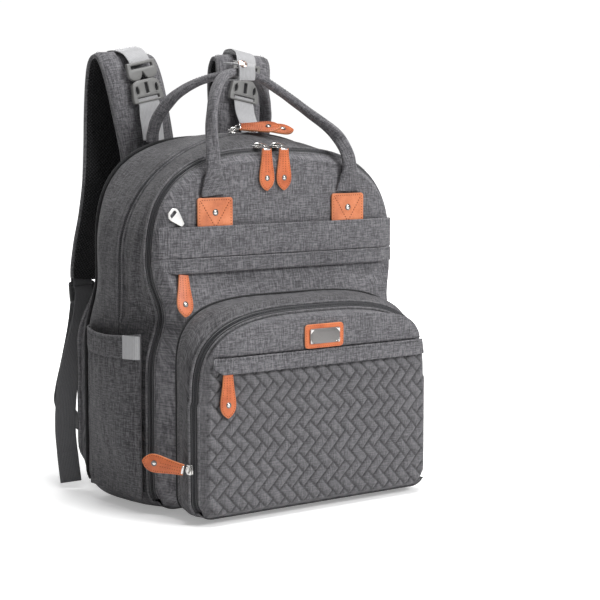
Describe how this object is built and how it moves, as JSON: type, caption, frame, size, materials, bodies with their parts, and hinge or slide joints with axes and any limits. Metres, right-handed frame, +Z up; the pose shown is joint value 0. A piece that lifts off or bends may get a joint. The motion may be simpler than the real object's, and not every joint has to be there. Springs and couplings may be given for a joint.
{
  "type": "diaper bag",
  "caption": "Backpack diaper bag with arched main zip, zipped front section, quilted lower pocket, side pockets, carry handles, padded shoulder straps and stroller buckles.",
  "frame": {"origin": "on the floor, under the middle of the main body where its front and rear sections meet", "axes": "+Z up, -Y towards the front of the bag (the face with the quilted pocket), +X towards the wearer's right when the bag is worn"},
  "size_m": [0.3957, 0.3551, 0.5242],
  "materials": {
    "heather_fabric": "heather grey woven polyester with slubs, matte",
    "side_fabric": "the same woven fabric on the gussets, a little darker",
    "quilted_fabric": "heather grey fabric with a raised diagonal quilt",
    "lining": "smooth light grey lining, slight sheen",
    "air_mesh": "black spacer mesh",
    "zip_tape": "black woven tape with coil teeth",
    "light_webbing": "light grey ribbed webbing",
    "grey_webbing": "mid grey ribbed webbing",
    "leather": "orange tan grained leather, light stitching",
    "nickel": "satin nickel",
    "grey_plastic": "moulded grey plastic",
    "board": "black sheet"
  },
  "bodies": {
    "rear_body": {"rear_gusset": "side_fabric", "back_panel": "air_mesh", "main_zip_tape": "zip_tape", "base_board": "board", "laptop_divider": "lining", "side_pocket_left": "side_fabric", "side_pocket_right": "side_fabric", "side_tab_left": "light_webbing", "strap_yoke": "heather_fabric", "lower_anchor_left": "heather_fabric", "lower_anchor_right": "heather_fabric"},
    "front_section": {"front_gusset": "side_fabric", "section_divider": "lining", "inner_pockets": "lining", "front_zip_tape": "zip_tape"},
    "front_cover": {"front_panel": "heather_fabric", "band_pocket": "heather_fabric", "pocket_gusset": "side_fabric", "pocket_zip_tape": "zip_tape", "handle_patch_left": "leather", "handle_patch_right": "leather", "band_slider": "nickel"},
    "pocket_cover": {"pocket_panel": "quilted_fabric", "pocket_yoke": "heather_fabric", "badge_patch": "leather", "badge_plate": "nickel"},
    "band_placket": {"band_placket": "heather_fabric"},
    "pocket_placket": {"pocket_placket": "heather_fabric"},
    "main_slider_left": {"main_slider_left": "nickel"},
    "main_slider_right": {"main_slider_right": "nickel"},
    "main_pull_left": {"main_pull_left": "leather"},
    "main_pull_right": {"main_pull_right": "leather"},
    "front_slider_left": {"front_slider_left": "nickel"},
    "front_slider_right": {"front_slider_right": "nickel"},
    "front_pull_left": {"front_pull_left": "leather"},
    "front_pull_right": {"front_pull_right": "leather"},
    "edge_slider": {"edge_slider": "nickel"},
    "edge_pull": {"edge_pull": "leather"},
    "band_pull": {"band_pull": "leather"},
    "pocket_slider": {"pocket_slider": "nickel"},
    "pocket_pull": {"pocket_pull": "leather"},
    "slot_puller": {"slot_puller": "nickel"},
    "front_handle": {"front_handle": "heather_fabric", "handle_wrap": "light_webbing"},
    "rear_handle": {"rear_handle": "heather_fabric"},
    "strap_left": {"shoulder_strap_left": "heather_fabric", "ladder_lock_left": "grey_plastic", "strap_webbing_left": "grey_webbing", "buckle_socket_left": "grey_plastic", "socket_webbing_left": "light_webbing"},
    "buckle_plug_left": {"buckle_plug_left": "grey_plastic", "stroller_webbing_left": "light_webbing"},
    "strap_right": {"shoulder_strap_right": "heather_fabric", "ladder_lock_right": "grey_plastic", "strap_webbing_right": "grey_webbing", "buckle_socket_right": "grey_plastic", "socket_webbing_right": "light_webbing"},
    "buckle_plug_right": {"buckle_plug_right": "grey_plastic", "stroller_webbing_right": "light_webbing"}
  },
  "joints": [
    {"name": "main_zip_opening", "type": "hinge", "parent": "rear_body", "child": "front_section", "pos_m": [0, 0.013, 0.002], "axis": [1, 0, 0], "range_deg": [0, 12]},
    {"name": "front_zip_opening", "type": "hinge", "parent": "front_section", "child": "front_cover", "pos_m": [0, -0.0458, 0.003], "axis": [1, 0, 0], "range_deg": [0, 75]},
    {"name": "lower_pocket_opening", "type": "hinge", "parent": "front_cover", "child": "pocket_cover", "pos_m": [0, -0.1212, 0.003], "axis": [1, 0, 0], "range_deg": [0, 60]},
    {"name": "band_placket_lift", "type": "hinge", "parent": "front_cover", "child": "band_placket", "pos_m": [0, -0.0642, 0.2832], "axis": [-1, 0, 0], "range_deg": [0, 80]},
    {"name": "pocket_placket_lift", "type": "hinge", "parent": "pocket_cover", "child": "pocket_placket", "pos_m": [0, -0.1388, 0.1804], "axis": [-1, 0, 0], "range_deg": [0, 80]},
    {"name": "main_slider_left_travel", "type": "hinge", "parent": "rear_body", "child": "main_slider_left", "pos_m": [0, 0.013, 0.2013], "axis": [0, -1, 0], "range_deg": [0, 24]},
    {"name": "main_slider_right_travel", "type": "hinge", "parent": "rear_body", "child": "main_slider_right", "pos_m": [0, 0.013, 0.2013], "axis": [0, 1, 0], "range_deg": [0, 26]},
    {"name": "main_pull_left_lift", "type": "hinge", "parent": "main_slider_left", "child": "main_pull_left", "pos_m": [-0.0124, 0.012, 0.4269], "axis": [-0.5665, -0.824, 0], "range_deg": [0, 110]},
    {"name": "main_pull_right_lift", "type": "hinge", "parent": "main_slider_right", "child": "main_pull_right", "pos_m": [0.0124, 0.012, 0.4269], "axis": [-0.205, -0.9788, -0.004], "range_deg": [0, 110]},
    {"name": "front_slider_left_travel", "type": "slide", "parent": "front_cover", "child": "front_slider_left", "axis": [-1, 0, 0], "range_m": [0, 0.045]},
    {"name": "front_slider_right_travel", "type": "slide", "parent": "front_cover", "child": "front_slider_right", "axis": [1, 0, 0], "range_m": [0, 0.045]},
    {"name": "front_pull_left_lift", "type": "hinge", "parent": "front_slider_left", "child": "front_pull_left", "pos_m": [-0.023, -0.0604, 0.4046], "axis": [-1, 0, 0], "range_deg": [0, 100]},
    {"name": "front_pull_right_lift", "type": "hinge", "parent": "front_slider_right", "child": "front_pull_right", "pos_m": [0.001, -0.0604, 0.4046], "axis": [-1, 0, 0], "range_deg": [0, 100]},
    {"name": "edge_slider_travel", "type": "slide", "parent": "front_cover", "child": "edge_slider", "axis": [0, 0, 1], "range_m": [0, 0.09]},
    {"name": "edge_pull_swing", "type": "hinge", "parent": "edge_slider", "child": "edge_pull", "pos_m": [-0.1734, -0.1182, 0.06], "axis": [0, 0, 1], "range_deg": [0, 80]},
    {"name": "band_pull_lift", "type": "hinge", "parent": "front_cover", "child": "band_pull", "pos_m": [-0.138, -0.0626, 0.2634], "axis": [-0.9901, 0.0434, 0.1332], "range_deg": [0, 60]},
    {"name": "pocket_slider_travel", "type": "slide", "parent": "pocket_cover", "child": "pocket_slider", "axis": [1, 0, 0], "range_m": [0, 0.255]},
    {"name": "pocket_pull_lift", "type": "hinge", "parent": "pocket_slider", "child": "pocket_pull", "pos_m": [-0.13, -0.137, 0.1608], "axis": [-1, 0, 0], "range_deg": [0, 75]},
    {"name": "slot_puller_tilt", "type": "hinge", "parent": "front_cover", "child": "slot_puller", "pos_m": [-0.1445, -0.0602, 0.319], "axis": [1, 0, 0], "range_deg": [0, 75]},
    {"name": "front_handle_swing", "type": "hinge", "parent": "front_cover", "child": "front_handle", "pos_m": [0, -0.0609, 0.3518], "axis": [1, 0, 0], "range_deg": [0, 95]},
    {"name": "rear_handle_swing", "type": "hinge", "parent": "rear_body", "child": "rear_handle", "pos_m": [0, 0.0925, 0.408], "axis": [-1, 0, 0], "range_deg": [0, 20]},
    {"name": "strap_left_swing", "type": "hinge", "parent": "rear_body", "child": "strap_left", "pos_m": [-0.065, 0.1265, 0.373], "axis": [1, 0, 0], "range_deg": [0, 5]},
    {"name": "buckle_left_release", "type": "slide", "parent": "strap_left", "child": "buckle_plug_left", "axis": [-0.1951, 0.1057, 0.9751], "range_m": [0, 0.012]},
    {"name": "strap_right_swing", "type": "hinge", "parent": "rear_body", "child": "strap_right", "pos_m": [0.065, 0.1265, 0.373], "axis": [1, 0, 0], "range_deg": [0, 5]},
    {"name": "buckle_right_release", "type": "slide", "parent": "strap_right", "child": "buckle_plug_right", "axis": [0.1951, 0.1057, 0.9751], "range_m": [0, 0.012]}
  ]
}
